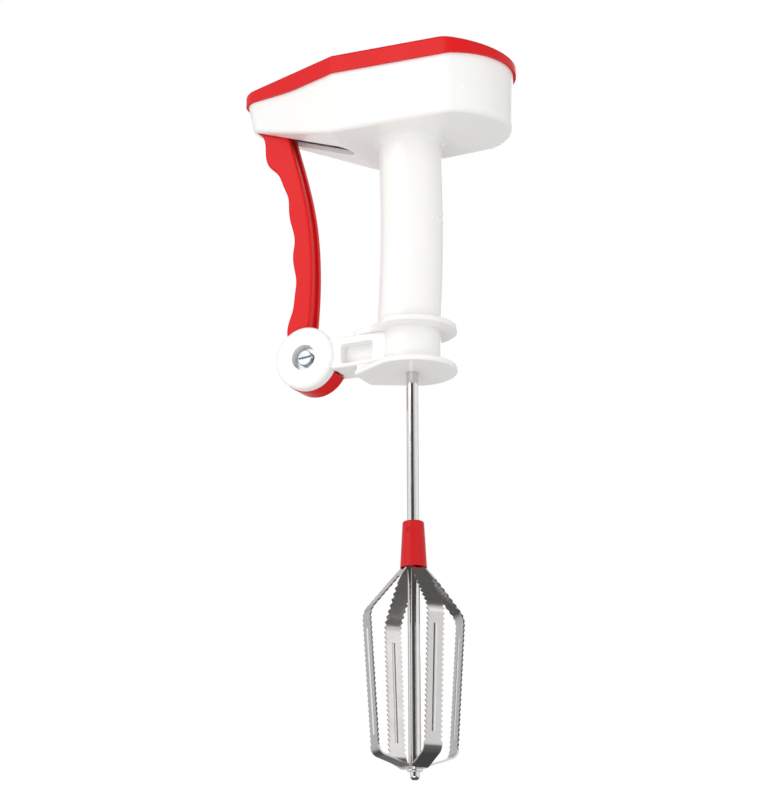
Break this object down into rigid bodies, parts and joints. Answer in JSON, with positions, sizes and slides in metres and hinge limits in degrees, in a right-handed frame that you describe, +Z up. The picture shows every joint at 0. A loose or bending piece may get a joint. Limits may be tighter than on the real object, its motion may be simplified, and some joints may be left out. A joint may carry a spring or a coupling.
{
  "type": "squeeze-lever hand beater",
  "caption": "Hand-powered kitchen beater: a squeeze lever beside the grip turns a shaft with four toothed blades through a rack and gears in the head.",
  "frame": {"origin": "on the drive shaft's axis at the middle of the grip column", "axes": "+Z up along the shaft to the lid, -X towards the squeeze lever, Y = 0 the plane of symmetry"},
  "size_m": [0.1488, 0.0678, 0.3625],
  "materials": {
    "white_plastic": "glossy moulded",
    "red_plastic": "satin gloss moulded",
    "collar_plastic": "satin moulded",
    "natural_nylon": "satin moulded",
    "zinc_steel": "zinc plated",
    "bright_steel": "turned",
    "spring_steel": "oiled",
    "polished_steel": "polished",
    "polished_blade": "polished pressed sheet"
  },
  "bodies": {
    "frame": {"main_body": "white_plastic", "top_lid": "red_plastic", "lid_screws": "zinc_steel", "rack_guide": "bright_steel", "guide_screws": "zinc_steel", "pivot_sleeve": "bright_steel", "pivot_screw": "zinc_steel", "pivot_washer": "zinc_steel", "pivot_nut": "zinc_steel", "return_spring": "spring_steel", "idler_axle": "bright_steel", "idler_washer": "natural_nylon", "idler_clip": "spring_steel", "upper_bush": "natural_nylon", "lower_bush": "white_plastic"},
    "lever": {"squeeze_lever": "red_plastic", "rack_sector": "natural_nylon", "rack_screws": "zinc_steel"},
    "idler": {"idler_gear": "natural_nylon"},
    "beater": {"drive_shaft": "polished_steel", "drive_pinion": "natural_nylon", "pinion_pin": "bright_steel", "shaft_clips": "spring_steel", "thrust_washers": "bright_steel", "beater_collar": "collar_plastic", "collar_pin": "bright_steel", "blade_loop_a": "polished_blade", "blade_loop_b": "polished_blade", "blade_washer": "polished_blade"}
  },
  "joints": [
    {"name": "beater_spin", "type": "hinge", "parent": "frame", "child": "beater", "pos_m": [0, 0, 0], "axis": [0, 0, 1], "range_deg": [-911.25, 0]},
    {"name": "lever_squeeze", "type": "hinge", "parent": "frame", "child": "lever", "pos_m": [-0.0544, 0, -0.0616], "axis": [0, 1, 0], "range_deg": [0, 13.5], "stiffness_Nm_per_rad": 1.2, "springref_deg": -5.73},
    {"name": "idler_spin", "type": "hinge", "parent": "frame", "child": "idler", "pos_m": [-0.024, 0, 0], "axis": [0, 0, 1], "range_deg": [0, 303.75]}
  ],
  "couplings": [
    {"joint": "lever_squeeze", "follows": "beater_spin", "ratio": -0.014815},
    {"joint": "idler_spin", "follows": "beater_spin", "ratio": -0.33333}
  ]
}
